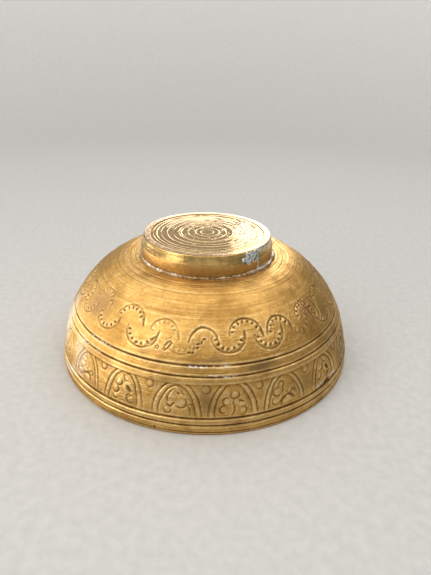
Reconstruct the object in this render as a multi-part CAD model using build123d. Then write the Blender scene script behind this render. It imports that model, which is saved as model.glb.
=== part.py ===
from build123d import *
import os
from math import asin, cos, radians, sin, sqrt

# Engraved brass singing bowl on a turned foot, in millimetres.
# It stands as it is stored, mouth down: the rim rests on z = 0 and the foot is on top.
# The origin is the centre of the rim's resting plane. Every turned piece shares the Z axis.

# Driving dimensions: bowl
rimRadius = 65.0
wallArcRadius = 0.785 * rimRadius   # lower wall, from the rim up
wallArcSweep = 54.0                 # degrees
crownArcRadius = 0.36 * rimRadius   # shoulder, from the wall to the flat crown
wallThickness = 2.4
rimThickness = 3.6
rimRound = 0.8

# Turned mouldings, as heights on the outer wall
rimGrooveHeights = (1.4, 4.3, 7.1)
mouldingGrooveHeights = (22.2, 25.7)
grooveRadius = 0.5
grooveDepth = 0.35
archBandHeights = (7.1, 20.0)
archBandDepth = 0.25

# Driving dimensions: foot
footHeight = 9.0
footRadius = 28.4
footRoundHeight = 3.2
lipOuterRadius = 27.3
discRadius = 24.4
discThickness = 2.2
discRecess = 0.15
seatWidth = 1.5
discGrooveRadii = (9.0, 10.8, 16.4, 18.2, 20.0, 21.6)
discGrooveDepth = 0.3

# Solder
seamWidth = 1.4
seamHeight = 1.1
patchThickness = 0.3
patchAzimuth = -45.0                # degrees from +X, towards the front right
patchRadii = (5.0, 2.3)             # along the wall and up it
patchHeight = 6.2                   # centre of the patch above the crown

# Places that follow from them
wallCentre = rimRadius - wallArcRadius
crownCentre = (
    wallCentre + (wallArcRadius - crownArcRadius) * cos(radians(wallArcSweep)),
    (wallArcRadius - crownArcRadius) * sin(radians(wallArcSweep)),
)
crownHeight = crownCentre[1] + crownArcRadius
lipHeight = crownHeight + footHeight
footRoundWidth = footRadius - lipOuterRadius
footRoundRadius = (footRoundWidth ** 2 + footRoundHeight ** 2) / (2 * footRoundWidth)


def wallPoint(height, inset=0.0):
    """A point of the lower wall at a height, a distance inside the outer surface."""
    radius = wallArcRadius - inset
    return (wallCentre + sqrt(radius ** 2 - height ** 2), height)


def wallArc(low, high, inset=0.0):
    """The stretch of the lower wall between two heights."""
    middle = (low + high) / 2
    return ThreePointArc(wallPoint(low, inset), wallPoint(middle, inset), wallPoint(high, inset))


def shoulderArc(inset=0.0):
    """The shoulder, from the end of the lower wall to the edge of the flat crown."""
    radius = crownArcRadius - inset
    points = []
    for angle in (wallArcSweep, (wallArcSweep + 90) / 2, 90):
        across = crownCentre[0] + radius * cos(radians(angle))
        up = crownCentre[1] + radius * sin(radians(angle))
        points.append((across, up))
    return ThreePointArc(*points)


def turned(section, angle=360):
    """A half section, drawn as radius and height, turned about the Z axis."""
    return revolve(Plane.XZ * section, Axis.Z, angle)


def archBandSection():
    """The shallow turned band that the arches are cut in, down from the outer wall."""
    low, high = archBandHeights
    inner = wallArc(low, high, archBandDepth)
    outer = wallArc(low, high, -1.0)
    ends = [Line(inner @ 0, outer @ 0), Line(inner @ 1, outer @ 1)]
    return make_face([inner, outer] + ends)


def bowlShell():
    outerWall = wallArc(0, wallArcRadius * sin(radians(wallArcSweep)))
    innerRadius = rimRadius - rimThickness
    innerWallRadius = wallArcRadius - wallThickness
    innerLow = sqrt(innerWallRadius ** 2 - (innerRadius - wallCentre) ** 2)
    innerWall = wallArc(innerLow, innerWallRadius * sin(radians(wallArcSweep)), wallThickness)
    outerShoulder = shoulderArc()
    innerShoulder = shoulderArc(wallThickness)
    edges = [
        outerWall,
        outerShoulder,
        Line(outerShoulder @ 1, (0, crownHeight)),
        Line((0, crownHeight), (0, crownHeight - wallThickness)),
        Line((0, crownHeight - wallThickness), innerShoulder @ 1),
        innerShoulder,
        innerWall,
        Line(innerWall @ 0, (innerRadius, 0)),
        Line((innerRadius, 0), (rimRadius, 0)),
    ]
    section = make_face(edges)
    rimCorners = section.vertices().filter_by(lambda v: abs(v.Y) < 0.001)
    section = fillet(rimCorners, rimRound)
    section -= archBandSection()
    for height in rimGrooveHeights + mouldingGrooveHeights:
        radius, up = wallPoint(height, grooveDepth - grooveRadius)
        section -= Pos(radius, up) * Circle(grooveRadius)
    return turned(section)


def footOutline(offset=0.0):
    """The foot's outer edge from its base to its lip, or a skin that far outside it."""
    radius = footRoundRadius + offset
    turn = asin(footRoundHeight / footRoundRadius)
    points = []
    for angle in (0.0, turn / 2, turn):
        across = footRadius - footRoundRadius + radius * cos(angle)
        up = lipHeight - footRoundHeight + radius * sin(angle)
        points.append((across, up))
    return [Line((footRadius + offset, crownHeight), points[0]), ThreePointArc(*points)]


def footRing():
    wall, round = footOutline()
    seatRadius = discRadius - seatWidth
    seatHeight = lipHeight - discThickness
    inside = Polyline(
        round @ 1,
        (discRadius, lipHeight),
        (discRadius, seatHeight),
        (seatRadius, seatHeight),
        (seatRadius, crownHeight),
        (footRadius, crownHeight),
    )
    return turned(make_face([wall, round, inside]))


def footDisc():
    faceHeight = lipHeight - discRecess
    thickness = discThickness - discRecess
    section = Pos(discRadius / 2, faceHeight - thickness / 2) * Rectangle(discRadius, thickness)
    for radius in discGrooveRadii:
        section -= Pos(radius, faceHeight + grooveRadius - discGrooveDepth) * Circle(grooveRadius)
    return turned(section)


def footSolderSeam():
    base = (footRadius, crownHeight)
    toe = (footRadius + seamWidth, crownHeight)
    heel = (footRadius, crownHeight + seamHeight)
    hollow = (footRadius + 0.42 * seamWidth, crownHeight + 0.42 * seamHeight)
    return turned(make_face([Line(base, toe), ThreePointArc(toe, hollow, heel), Line(heel, base)]))


def solderRepairPatch():
    """An oval deposit that follows the foot's wall, cut from a thin skin around it."""
    inner = footOutline()
    outer = footOutline(patchThickness)
    ends = [Line(inner[0] @ 0, outer[0] @ 0), Line(inner[1] @ 1, outer[1] @ 1)]
    skin = turned(make_face(inner + outer + ends))
    outward = (cos(radians(patchAzimuth)), sin(radians(patchAzimuth)), 0)
    along = (-sin(radians(patchAzimuth)), cos(radians(patchAzimuth)), 0)
    oval = Plane((0, 0, crownHeight + patchHeight), x_dir=along, z_dir=outward)
    return skin & extrude(oval * Ellipse(*patchRadii), 2 * footRadius)


nodes = {
    "bowl_shell": bowlShell,
    "foot_ring": footRing,
    "foot_disc": footDisc,
    "foot_solder_seam": footSolderSeam,
    "solder_repair_patch": solderRepairPatch,
}

os.makedirs("parts", exist_ok=True)
for name, make in nodes.items():
    shape = make()
    export_step(shape, f"parts/{name}.step")
    print(name, round(shape.volume, 1), "mm3")
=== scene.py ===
import math

import bpy
import numpy as np
from mathutils import Matrix, Vector


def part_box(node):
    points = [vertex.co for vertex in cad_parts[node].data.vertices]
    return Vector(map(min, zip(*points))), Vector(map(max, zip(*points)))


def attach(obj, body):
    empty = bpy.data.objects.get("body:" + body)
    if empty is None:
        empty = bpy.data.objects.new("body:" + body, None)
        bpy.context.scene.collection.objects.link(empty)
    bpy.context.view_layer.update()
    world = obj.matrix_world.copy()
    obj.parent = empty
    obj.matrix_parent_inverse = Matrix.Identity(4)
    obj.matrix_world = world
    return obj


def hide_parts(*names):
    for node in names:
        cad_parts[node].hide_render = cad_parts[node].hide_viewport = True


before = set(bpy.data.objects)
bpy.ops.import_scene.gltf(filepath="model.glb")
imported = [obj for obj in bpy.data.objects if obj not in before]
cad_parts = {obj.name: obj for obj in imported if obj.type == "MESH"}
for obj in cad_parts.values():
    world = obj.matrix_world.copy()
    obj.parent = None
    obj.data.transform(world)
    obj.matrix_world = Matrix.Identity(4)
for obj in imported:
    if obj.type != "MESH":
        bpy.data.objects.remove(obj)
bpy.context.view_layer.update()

mm = 0.001
rng = np.random.default_rng(41)  # hand-made unevenness, the same each run

# The turned profile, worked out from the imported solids. Heights and radii are in millimetres.

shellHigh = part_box("bowl_shell")[1]
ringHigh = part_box("foot_ring")[1]
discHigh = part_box("foot_disc")[1]
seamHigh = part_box("foot_solder_seam")[1]
rimRadius = round(shellHigh.x / mm, 1)
crownHeight = shellHigh.z / mm
lipHeight = ringHigh.z / mm
footRadius = ringHigh.x / mm
discRadius = discHigh.x / mm

profile = {
    "wallArc": 0.785 * rimRadius,  # radius of the lower wall
    "wallSweep": math.radians(54),
    "crownArc": 0.36 * rimRadius,  # radius of the shoulder
    "wall": 2.4,  # thickness
    "rim": 3.6,  # thickness at the mouth
    "rimRound": 0.8,
}
wallCentre = rimRadius - profile["wallArc"]
wallLength = profile["wallArc"] * profile["wallSweep"]
shoulderSweep = math.pi / 2 - profile["wallSweep"]
shoulderLength = profile["crownArc"] * shoulderSweep
arcGap = profile["wallArc"] - profile["crownArc"]
shoulderCentre = (
    wallCentre + arcGap * math.cos(profile["wallSweep"]),
    arcGap * math.sin(profile["wallSweep"]),
)


def outerPoint(along):
    # radius, height and outward normal of the outer surface, a distance along it from the rim
    if along > wallLength + shoulderLength:
        return shoulderCentre[0] - (along - wallLength - shoulderLength), crownHeight, 0.0, 1.0
    centre, arc, angle = (wallCentre, 0.0), profile["wallArc"], along / profile["wallArc"]
    if along > wallLength:
        centre, arc = shoulderCentre, profile["crownArc"]
        angle = profile["wallSweep"] + (along - wallLength) / arc
    out, up = math.cos(angle), math.sin(angle)
    return centre[0] + arc * out, centre[1] + arc * up, out, up


# Mesh helpers

def rowsBetween(stops):
    # distances along a profile from a list of (end, step) stretches, starting at the first end
    rows = [stops[0][0]]
    for end, step in stops[1:]:
        count = max(1, round((end - rows[-1]) / step))
        rows.extend(np.linspace(rows[-1], end, count + 1)[1:])
    return np.array(rows)


def makePiece(name, vertices, faces, attributes=None, smooth=True):
    mesh = bpy.data.meshes.new(name)
    mesh.from_pydata([tuple(v) for v in vertices], [], faces)
    for key, values in (attributes or {}).items():
        layer = mesh.attributes.new(key, "FLOAT", "POINT")
        layer.data.foreach_set("value", np.asarray(values, dtype=np.float32))
    mesh.validate()
    mesh.polygons.foreach_set("use_smooth", [smooth] * len(mesh.polygons))
    mesh.update()
    piece = bpy.data.objects.new(name, mesh)
    bpy.context.scene.collection.objects.link(piece)
    return piece


def turnedRings(radii, heights, columns):
    # one ring of vertices for each profile point; radii and heights may vary around the ring
    radii, heights = (
        values if values.ndim == 2 else np.repeat(values[:, None], columns, axis=1)
        for values in (np.asarray(radii, dtype=float), np.asarray(heights, dtype=float))
    )
    turn = np.arange(columns) * 2 * np.pi / columns
    ring = np.stack([radii * np.sin(turn)[None, :], -radii * np.cos(turn)[None, :], heights], axis=-1)
    return ring.reshape(-1, 3) * mm


def ringFaces(first, rows, columns, close=False):
    # quads between successive rings, the last one joined to the first where the section is closed
    faces = []
    for row in range(rows if close else rows - 1):
        below = first + row * columns
        above = first + ((row + 1) % rows) * columns
        for column in range(columns):
            ahead = (column + 1) % columns
            faces.append((below + column, below + ahead, above + ahead, above + column))
    return faces


def stepFaces(fine, fineCount, coarse, coarseCount, flip=False):
    # joins a ring of many vertices to one of few, several fine edges to each coarse one
    share = fineCount // coarseCount
    faces = []
    for column in range(coarseCount):
        run = [fine + (column * share + i) % fineCount for i in range(share + 1)]
        back = [coarse + (column + 1) % coarseCount, coarse + column]
        face = run + back
        faces.append(tuple(reversed(face)) if flip else tuple(face))
    return faces


# The engraver's canvas: the outer wall laid flat, in degrees round it and millimetres up it.
# Zero degrees faces the front and angles grow to the right.

layers = ("depth", "lift", "stain", "copper", "silver", "groove", "scratch")


def makeCanvas(rows, columns):
    canvas = {layer: np.zeros((len(rows), columns)) for layer in layers}
    canvas["rows"] = rows
    canvas["turn"] = np.arange(columns) * 360 / columns
    canvas["points"] = np.array([outerPoint(along) for along in rows])
    return canvas


def canvasWindow(canvas, centre, low, high):
    # the part of the canvas between two corners in millimetres from a centre, and those millimetres
    angle, along = centre
    rows = canvas["rows"]
    perDegree = outerPoint(along)[0] * math.pi / 180
    across = ((canvas["turn"] - angle + 180) % 360 - 180) * perDegree
    rowsIn = np.where((rows >= along + low[1]) & (rows <= along + high[1]))[0]
    columnsIn = np.where((across >= low[0]) & (across <= high[0]))[0]
    x, y = np.meshgrid(across[columnsIn], rows[rowsIn] - along)
    return np.ix_(rowsIn, columnsIn), x, y


def press(canvas, layer, where, amount):
    # marks of one kind never add up, the deepest one shows
    canvas[layer][where] = np.maximum(canvas[layer][where], amount)


def handShake(count):
    # a slow wander, in millimetres, so that no line is drawn with a ruler
    steps = rng.normal(0, 0.22, (count, 2))
    for _ in range(3):
        steps[1:-1] = (steps[:-2] + steps[1:-1] + steps[2:]) / 3
    return steps


def chisel(canvas, centre, points, width=0.8, depth=0.3, ends=1.0, taper=1.0, lean=0.0, burr=0.22):
    # a cut along a line of points in local millimetres, with the metal pushed up on both sides;
    # lean makes the side to the left of the stroke shallower and the other steeper
    points = np.asarray(points, dtype=float)
    points = points + handShake(len(points)) * min(1.0, width)
    margin = width * 1.8
    where, x, y = canvasWindow(canvas, centre, points.min(axis=0) - margin, points.max(axis=0) + margin)
    start = points[:-1]
    run = points[1:] - start
    lengths = np.maximum(np.hypot(run[:, 0], run[:, 1]), 1e-6)
    fromX = x[..., None] - start[:, 0]
    fromY = y[..., None] - start[:, 1]
    share = np.clip((fromX * run[:, 0] + fromY * run[:, 1]) / lengths ** 2, 0, 1)
    gap = np.hypot(fromX - share * run[:, 0], fromY - share * run[:, 1])
    side = np.sign(run[:, 0] * fromY - run[:, 1] * fromX)
    nearest = gap.argmin(axis=-1)[..., None]
    gap, share, side = (np.take_along_axis(grid, nearest, -1)[..., 0] for grid in (gap, share, side))
    nearest = nearest[..., 0]
    travelled = np.concatenate([[0], np.cumsum(lengths)])
    place = (travelled[nearest] + share * lengths[nearest]) / travelled[-1]
    fade = ends + (1 - ends) * np.sin(np.pi * place)
    half = width / 2 * (1 + (taper - 1) * place) * (1 + lean * side)
    floor = np.clip(np.cos(np.clip(gap / half, 0, 1) * np.pi / 2), 0, 1)
    edge = burr * np.exp(-((gap - 1.3 * half) / (0.35 * half)) ** 2)
    press(canvas, "depth", where, depth * fade * floor)
    press(canvas, "lift", where, depth * fade * edge)


def pit(canvas, centre, offset, size, depth=0.3, angle=0.0, rim=0.15, layer="depth"):
    # an oval hollow, or when another layer is named a swelling or a patch of colour: a stain, a tint,
    # painted shade or a painted highlight
    offset = np.array(offset)
    reach = max(size) * 1.4
    where, x, y = canvasWindow(canvas, centre, offset - reach, offset + reach)
    x, y = x - offset[0], y - offset[1]
    slant = math.radians(angle)
    long = (x * math.cos(slant) + y * math.sin(slant)) / size[0]
    short = (y * math.cos(slant) - x * math.sin(slant)) / size[1]
    away = np.hypot(long, short)
    press(canvas, layer, where, depth * np.clip(1 - away ** 2, 0, 1) ** 0.7)
    if layer == "depth":
        press(canvas, "lift", where, rim * depth * np.exp(-((away - 1.15) / 0.2) ** 2))


def arcPoints(centre, radii, first, last, count=14, slant=0.0):
    # points of an elliptical arc, angles in degrees from the right, counter-clockwise
    turn = np.radians(np.linspace(first, last, count))
    x = radii[0] * np.cos(turn)
    y = radii[1] * np.sin(turn)
    slant = math.radians(slant)
    return np.stack([
        centre[0] + x * math.cos(slant) - y * math.sin(slant),
        centre[1] + x * math.sin(slant) + y * math.cos(slant),
    ], axis=-1)


def softNoise(canvas, cells, seed):
    # smooth noise over the canvas that closes on itself round the bowl, from -1 to 1
    source = np.random.default_rng(seed)
    turn = np.radians(canvas["turn"])
    along = canvas["rows"]
    total = np.zeros_like(canvas["depth"])
    for waves in range(1, cells + 1, max(1, cells // 9)):
        for _ in range(3):
            phase = source.uniform(0, 2 * np.pi, 2)
            climb = source.uniform(-1, 1) * waves / 55
            total += np.sin(waves * turn[None, :] + climb * along[:, None] + phase[0]) * np.cos(
                climb * along[:, None] * 1.7 + phase[1])
    return total / np.abs(total).max()


def handBeaten(canvas, size, seed):
    # small bumps and hollows of about a given size in millimetres, from about -1 to 1
    source = np.random.default_rng(seed)
    rows = canvas["rows"] / size
    columns = len(canvas["turn"])
    around = int(round(340 / size))
    grid = source.normal(0, 0.5, (int(70 / size) + 3, around))
    place = np.arange(columns) * around / columns
    left = place.astype(int)
    share = place - left
    share = share * share * (3 - 2 * share)
    spread = grid[:, left] * (1 - share) + grid[:, (left + 1) % around] * share
    low = rows.astype(int)
    rise = rows - low
    rise = (rise * rise * (3 - 2 * rise))[:, None]
    return spread[low] * (1 - rise) + spread[low + 1] * rise


# Turned mouldings, arch band and scroll band

mouldings = {
    "rimGrooves": ((1.4, 0.7, 0.14), (4.3, 1.1, 0.34), (7.1, 1.25, 0.42)),  # along, width, depth
    "upperGrooves": ((22.95, 1.0, 0.34), (26.95, 1.05, 0.38)),
    "archBand": (7.2, 20.5),  # recessed between these
    "archBandDepth": 0.25,
}

archBand = {
    "frontCentres": (-46.6, -27.0, -8.0, 11.0, 29.0, 49.5),  # degrees
    "others": 13,  # arches that fill the rest of the way round
    "foot": 7.3,  # where the arches spring from
    "height": 14.4,  # they run up under the ledge, which cuts their tops off
    "halfWidth": 9.2,
    "top": 20.2,
    "lines": ((0.0, 0.42, 0.16), (2.1, 0.48, 0.24), (3.2, 0.16, 0.0)),  # inset, depth, lean
    "boss": {"radius": 1.5, "along": 19.0, "across": 0.1},
}

scrollBand = {
    "upper": (  # angle, height of the top, width in degrees, outline, teeth
        (-53.0, 46.0, 13.5, 0.45, 0.5), (-32.8, 44.9, 13.9, 0.75, 0.95), (-15.8, 42.7, 12.5, 0.6, 0.35),
        (0.5, 40.9, 11.4, 1.2, 0.12), (17.6, 43.4, 14.0, 1.0, 1.0), (33.0, 41.8, 11.8, 1.1, 1.05),
    ),
    "lower": (  # angle, height of the bottom, width in degrees, outline, teeth
        (-44.0, 32.0, 13.5, 0.5, 0.95), (-25.0, 30.6, 14.0, 0.75, 1.05), (-7.5, 30.6, 12.5, 0.3, 0.25),
        (10.5, 31.4, 13.2, 0.85, 1.1), (27.5, 30.6, 12.6, 0.65, 1.05), (44.0, 31.6, 12.0, 0.3, 0.45),
    ),
    "others": 15,  # crescents that fill the rest of each row
    "levels": {"upper": 43.3, "lower": 31.0},  # about where the others reach
    "marks": ((0.0, 0.62, 0.24, "lift"), (0.5, 0.55, 0.36, "depth")),  # a bead, and a wedge beside it
    "loops": ((-19.3, 33.6), (-13.2, 33.2), (106.0, 33.4), (214.0, 33.8), (291.0, 33.2)),
    "scales": (-4.5, 84.0, 181.0, 262.0),
    "leaves": (53.5, 127.0, 236.0),
    "rise": 5.7,
    "outline": (1.0, 0.32),  # width and depth of a full-strength outline
    "inset": 1.15,  # from the outline to the middle of the teeth
    "pitch": 2.15,
    "scribe": (38.3, 12.0, 27.0),  # a guide line left showing: height, from, to
}


def turnMouldings(canvas):
    rows = canvas["rows"]
    for along, width, depth in mouldings["rimGrooves"] + mouldings["upperGrooves"]:
        gap = np.abs(rows - along) / (width / 2)
        cut = depth * np.cos(np.clip(gap, 0, 1) * np.pi / 2)
        wobble = 1 + 0.12 * softNoise(canvas, 12, int(along * 10))
        canvas["depth"] = np.maximum(canvas["depth"], cut[:, None] * wobble)
        worn = (cut / depth)[:, None] * np.clip(wobble, 0.7, 1.0)
        canvas["groove"] = np.maximum(canvas["groove"], worn)
        burr = 0.09 * np.exp(-((gap - 1.4) / 0.35) ** 2)
        canvas["lift"] = np.maximum(canvas["lift"], burr[:, None])
    low, high = mouldings["archBand"]
    band = np.clip((rows - low) / 0.5, 0, 1) * np.clip((high - rows) / 0.45, 0, 1)
    return band * mouldings["archBandDepth"]


def swell(canvas, centre, at, size, height, angle=0.0):
    pit(canvas, centre, at, size, height, angle, layer="lift")


def lobe(canvas, centre, at, radius, first, last, depth=0.36, width=0.9):
    # a scalloped leaf edge: a rounded cut with the leaf's own body standing inside it
    swell(canvas, centre, at, (radius * 0.66, radius * 0.66), 0.16)
    edge = arcPoints(at, (radius, radius * 0.94), first, last)
    chisel(canvas, centre, edge, width, depth, ends=0.35, lean=0.25)


# Sprigs, one in each arch: the tool of every stroke and what it is given, in the order they are cut,
# in millimetres from the foot of the arch. A chisel takes its line, width, depth, ends, taper and lean.

rosette = (
    (swell, (0.5, 9.0), (1.2, 1.1), 0.14),
    (lobe, (0.5, 9.0), 1.75, 150, 400, 0.34),
    (lobe, (-2.6, 6.3), 1.6, 50, 265),
    (lobe, (-3.7, 3.3), 1.6, 70, 290),
    (lobe, (3.3, 2.6), 1.7, -130, 110, 0.2),
    (pit, (2.9, 6.2), (1.25, 0.5), 0.5, -18),
    (swell, (2.6, 5.0), (1.7, 0.9), 0.14, -20),
    (chisel, [(0.3, 7.1), (-0.1, 5.6), (0.5, 4.2), (0.2, 2.4), (-1.0, 0.9)], 0.95, 0.28, 0.4),
    (chisel, [(-1.8, 1.2), (-3.0, 0.8), (-4.0, 1.2)], 0.8, 0.2, 0.3),
    (chisel, arcPoints((3.4, 1.0), (1.1, 0.6), 200, 340, 6), 0.7, 0.26, 0.3),
)
tulip = (
    (lobe, (-1.2, 9.2), 1.2, -60, 200, 0.3),
    (chisel, [(-0.6, 8.3), (-0.2, 7.0), (-1.0, 5.8)], 0.8, 0.32, 0.4),
    (lobe, (-3.1, 6.6), 1.9, 75, 300),
    (lobe, (-4.1, 3.2), 1.5, 70, 300, 0.24),
    (chisel, [(-2.6, 1.8), (-1.4, 3.2), (-0.9, 4.8)], 1.0, 0.34, 0.4, 1.0, 0.3),
    (swell, (1.3, 2.2), (2.0, 1.5), 0.16, 5),
    (chisel, arcPoints((1.4, 1.6), (2.7, 2.6), 190, 20), 1.25, 0.46, 0.4, 1.0, 0.35),
    (pit, (0.1, 3.6), (0.9, 0.6), 0.5, 35),
    (lobe, (2.4, 6.1), 1.2, 160, 380, 0.3),
    (lobe, (4.1, 5.2), 0.95, -60, 150, 0.24),
    (chisel, [(0.2, 6.0), (1.2, 5.2), (1.6, 4.4)], 0.8, 0.28, 0.4),
)
fern = (
    (swell, (0.4, 10.1), (1.5, 1.0), 0.12, -30),
    (chisel, [(-0.9, 11.2), (0.1, 9.2), (1.7, 9.4)], 0.95, 0.4, 0.4, 0.6),
    (lobe, (-2.5, 8.4), 1.9, -140, 30, 0.32),
    (lobe, (-3.8, 5.2), 1.7, -150, 40, 0.3),
    (lobe, (-3.4, 2.3), 1.4, 160, 330, 0.22),
    (pit, (2.3, 6.6), (1.9, 0.95), 0.5, -50),
    (swell, (0.7, 6.6), (0.9, 1.6), 0.15, 10),
    (lobe, (3.3, 2.9), 1.9, 60, 330, 0.34),
    (lobe, (3.1, 3.3), 0.85, 10, 250, 0.26),
    (chisel, [(4.7, 7.6), (5.1, 5.6), (4.8, 3.4)], 0.8, 0.22, 0.3),
    (chisel, [(-1.4, 1.1), (0.2, 1.5), (1.8, 0.9)], 0.7, 0.16, 0.3),
)
scrollLeaf = (
    (chisel, arcPoints((-1.9, 7.8), (1.3, 2.7), 60, 300, 16, -24), 0.9, 0.3, 0.4, 1.0, 0.2),
    (swell, (-1.9, 7.8), (0.8, 2.0), 0.14, 66),
    (lobe, (-2.4, 5.0), 1.4, 190, 350, 0.4),
    (lobe, (-3.3, 2.3), 1.5, 170, 370, 0.4),
    (pit, (-1.3, 4.6), (1.0, 0.5), 0.46, 30),
    (swell, (1.6, 5.4), (1.9, 1.7), 0.12),
    (chisel, arcPoints((1.7, 5.4), (2.0, 1.9), 215, 400, 16), 0.9, 0.32, 0.4),
    (pit, (0.6, 8.9), (1.1, 0.5), 0.36, -35),
    (chisel, [(1.2, 10.4), (1.9, 9.0), (3.4, 8.4)], 0.9, 0.28, 0.4),
    (chisel, [(2.6, 5.0), (4.2, 4.4), (5.0, 2.6), (4.7, 1.0)], 0.85, 0.28, 0.4),
    (lobe, (5.0, 4.3), 0.8, -60, 150, 0.3),
)


def archCentres():
    front = archBand["frontCentres"]
    step = (360 + front[0] - front[-1]) / (archBand["others"] + 1)
    return list(front) + [
        front[-1] + step * (place + 1) + rng.uniform(-0.8, 0.8) for place in range(archBand["others"])
    ]


def cutArches(canvas):
    sprigs = (fern, scrollLeaf, rosette, tulip)
    centres = archCentres()
    for index, angle in enumerate(centres):
        centre = (angle, archBand["foot"])
        halfWidth = archBand["halfWidth"] * rng.uniform(0.94, 1.02)
        height = archBand["height"] * rng.uniform(0.95, 1.02)
        shift = rng.uniform(-0.4, 0.4)
        for inset, depth, lean in archBand["lines"]:
            for first, last, firm in ((178, 92, 1.05), (88, 2, 0.8)):
                radii = (halfWidth - inset, height - inset * 0.8)
                ends = (first + rng.uniform(-2, 2), last + rng.uniform(-5, 5))
                line = arcPoints((shift, 0), radii, *ends, 22)
                strength = depth * firm * rng.uniform(0.5, 1.15)
                chisel(canvas, centre, line, 1.0, strength, ends=0.45, lean=-lean)
        ridge = (halfWidth - 1.05, height - 0.9)
        for first, last in ((176, 100), (80, 4)):
            line = arcPoints((shift, 0), ridge, first, last, 16)
            raiseRoll(canvas, centre, line, 0.75, 0.09)
        root = (angle + shift / 2, archBand["foot"] + rng.uniform(0.0, 0.5))
        for tool, *values in sprigs[(index + 3) % 4]:
            tool(canvas, root, *values)
        ahead = centres[(index + 1) % len(centres)] + (360 if index + 1 == len(centres) else 0)
        makeBoss(canvas, (angle + ahead) / 2, index)


def raiseRoll(canvas, centre, points, width, height):
    # a soft raised roll along a line
    margin = width * 2
    where, x, y = canvasWindow(canvas, centre, points.min(axis=0) - margin, points.max(axis=0) + margin)
    gap = np.hypot(x[..., None] - points[:, 0], y[..., None] - points[:, 1]).min(axis=-1)
    press(canvas, "lift", where, height * np.exp(-(gap / width) ** 2))


def makeBoss(canvas, angle, index):
    # a small flat round stud between two arches, cut round its edge
    boss = archBand["boss"]
    corner = (angle + boss["across"] * ((index * 7) % 5 - 2), boss["along"] + rng.uniform(-0.7, 0.4))
    radius = boss["radius"] * rng.uniform(0.9, 1.12)
    swell(canvas, corner, (0, 0), (radius, radius), 0.07)
    first = rng.uniform(120, 200)
    line = arcPoints((0, 0), (radius, radius), first, first + 330, 18)
    chisel(canvas, corner, line, 0.75, 0.24, ends=0.3)


def crescent(canvas, centre, width, up, outline, teeth):
    # a half-round outline with a row of teeth along its inner side; up is 1 or -1
    lineWidth, lineDepth = scrollBand["outline"]
    radii = np.array((width / 2, scrollBand["rise"]))
    mirror = np.array((1.0, up))
    slant = rng.uniform(-4, 4)
    line = arcPoints((0, 0), radii, 4 + rng.uniform(-8, 6), 176 + rng.uniform(-6, 8), 26, slant) * mirror
    chisel(canvas, centre, line, lineWidth, lineDepth * outline, ends=0.5, lean=0.22)
    inner = radii - scrollBand["inset"]
    arc = math.pi * math.sqrt((inner[0] ** 2 + inner[1] ** 2) / 2)
    count = max(4, round(arc / scrollBand["pitch"]))
    worn = rng.uniform(0.75, 1.15, count)
    for place in range(count):
        for offset, narrow, depth, layer in scrollBand["marks"]:
            turn = 10 + 160 * (place + offset + rng.uniform(-0.1, 0.1)) / (count - 0.5)
            at = arcPoints((0, 0), inner, turn, turn, 1, slant)[0] * mirror
            size = rng.uniform(0.75, 1.05)
            inward = math.degrees(math.atan2(-at[1], -at[0]))
            pit(canvas, centre, at, (size, size * narrow), depth * teeth * worn[place], inward, 0.3, layer)
    return line


def endStroke(canvas, centre, line, up, strength):
    # the outline's right-hand end runs straight on, and sometimes curls back as a small loop
    tip = line[0]
    stroke = [tip + (-0.3, 2.0 * up), tip, tip + (0.25, -1.7 * up)]
    chisel(canvas, centre, stroke, 1.0, 0.36 * strength, ends=0.5, lean=0.3 * up)


def crescentRow(name):
    # a row's listed crescents, then others that carry it on round the bowl to the first again
    laid, level = scrollBand[name], scrollBand["levels"][name]
    last = laid[-1][0]
    step = (laid[0][0] + 360 - last) / (scrollBand["others"] + 1)
    return list(laid) + [
        (last + step * (place + 1) + rng.uniform(-0.7, 0.7), level + rng.uniform(-1.1, 1.1),
         rng.uniform(12.0, 14.2), rng.uniform(0.5, 1.15), rng.uniform(0.45, 1.1))
        for place in range(scrollBand["others"])
    ]


def cutScrolls(canvas):
    for name, up in (("upper", 1), ("lower", -1)):
        for angle, height, span, outline, teeth in crescentRow(name):
            base = (angle, height - scrollBand["rise"] * up)
            width = math.radians(span) * outerPoint(base[1])[0]
            line = crescent(canvas, base, width, up, outline, teeth)
            endStroke(canvas, base, line, up, outline)
    # loops, scaly strokes and leaf strokes where the hand slipped or filled a gap
    for place in scrollBand["loops"]:
        chisel(canvas, place, arcPoints((0, 0), (0.75, 1.9), -70, 250, 14, -28), 0.8, 0.32, ends=0.6)
    for angle in scrollBand["scales"]:
        for step in range(7):
            climb = 0.85 * step
            place = (angle + climb + rng.uniform(-0.5, 0.5), 30.9 + climb + rng.uniform(-0.6, 0.6))
            pit(canvas, place, (0, 0), (0.9, 0.5), rng.uniform(0.2, 0.45), rng.uniform(10, 80), rim=0.4)
    for angle in scrollBand["leaves"]:
        leaf = (angle, 38.0)
        for offset in (0.0, 1.7):
            stroke = [(x + offset, y) for x, y in ((-2.8, 5.2), (-1.3, 2.4), (-0.2, -1.2), (0.2, -4.6))]
            chisel(canvas, leaf, stroke, 1.1, 0.42, ends=0.4, lean=-0.25)
        for step in range(4):
            pit(canvas, leaf, (-0.6 + 0.3 * step, 2.6 - 1.6 * step), (0.6, 0.4), 0.32, 40, rim=0.4)
        edge = arcPoints((-2.0, -1.0), (7.0, 6.2), -40, 35, 16)
        chisel(canvas, leaf, edge, 1.2, 0.4, ends=0.4, lean=-0.3)
    level, first, last = scrollBand["scribe"]
    middle = (first + last) / 2
    reach = math.radians(last - first) * outerPoint(level)[0] / 2
    chisel(canvas, (middle, level), [(-reach, -0.2), (0, 0.1), (reach, 0.3)], 0.5, 0.08, ends=0.3)


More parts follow.
